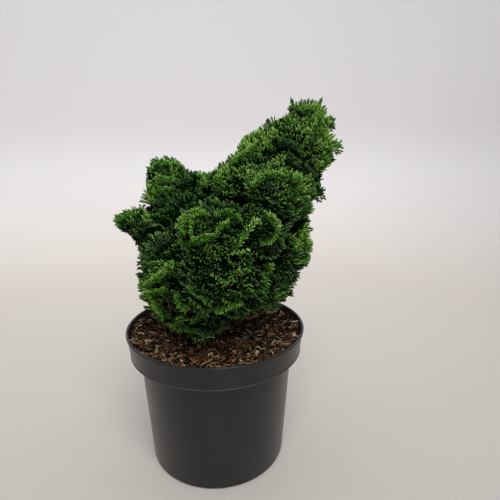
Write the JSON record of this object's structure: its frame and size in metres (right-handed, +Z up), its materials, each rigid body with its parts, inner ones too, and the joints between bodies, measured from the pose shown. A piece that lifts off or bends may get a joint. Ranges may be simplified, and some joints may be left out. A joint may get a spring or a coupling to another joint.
{
  "type": "dwarf hinoki cypress in a nursery pot",
  "caption": "Small dense evergreen tree with a leaning trunk, tapering boughs and lumpy masses of scale-leaved foliage, in a round plastic nursery pot topped with bark mulch.",
  "frame": {"origin": "centre of the pot's flat underside", "axes": "+Z up along the pot's axis, +X towards the side that the tree's leader leans to, -Y towards the tree's front"},
  "size_m": [0.308, 0.258, 0.5163],
  "materials": {
    "pot_plastic": "dark grey moulded plastic with a soft sheen",
    "potting_mix": "damp, fibrous bark-based potting mix",
    "bark_mulch": "shredded brown bark",
    "bark": "reddish-brown stringy bark",
    "foliage": "deep green scale leaves in cupped sprays, with yellow-green tips"
  },
  "bodies": {
    "root": {"pot": "pot_plastic", "potting_mix": "potting_mix", "bark_mulch": "bark_mulch", "trunk": "bark", "bough_right_lower": "bark", "bough_front_cup": "bark", "bough_front_upper": "bark", "bough_left_knob": "bark", "bough_left_shoulder": "bark", "bough_left_arm": "bark", "bough_left_side": "bark", "bough_left_low": "bark", "bough_front_left": "bark", "bough_front_middle": "bark", "bough_front_right": "bark", "bough_front_low_right": "bark", "bough_front_low_left": "bark", "bough_right_low": "bark", "bough_right_back": "bark", "bough_back_left": "bark", "bough_back_middle": "bark", "foliage_crown_tip": "foliage", "foliage_right_upper": "foliage", "foliage_ridge_upper": "foliage", "foliage_ridge_middle": "foliage", "foliage_ridge_lower": "foliage", "foliage_right_shoulder": "foliage", "foliage_right_outer": "foliage", "foliage_right_lower": "foliage", "foliage_front_cup": "foliage", "foliage_front_upper": "foliage", "foliage_left_knob": "foliage", "foliage_left_shoulder": "foliage", "foliage_saddle": "foliage", "foliage_left_arm": "foliage", "foliage_left_side": "foliage", "foliage_left_low": "foliage", "foliage_front_left": "foliage", "foliage_front_middle": "foliage", "foliage_front_right": "foliage", "foliage_front_low_right": "foliage", "foliage_front_low_left": "foliage", "foliage_front_foot": "foliage", "foliage_right_low": "foliage", "foliage_right_back": "foliage", "foliage_back_low_left": "foliage", "foliage_back_low_right": "foliage", "foliage_back_left": "foliage", "foliage_back_middle": "foliage", "foliage_back_right": "foliage", "foliage_back_upper": "foliage"}
  },
  "joints": []
}
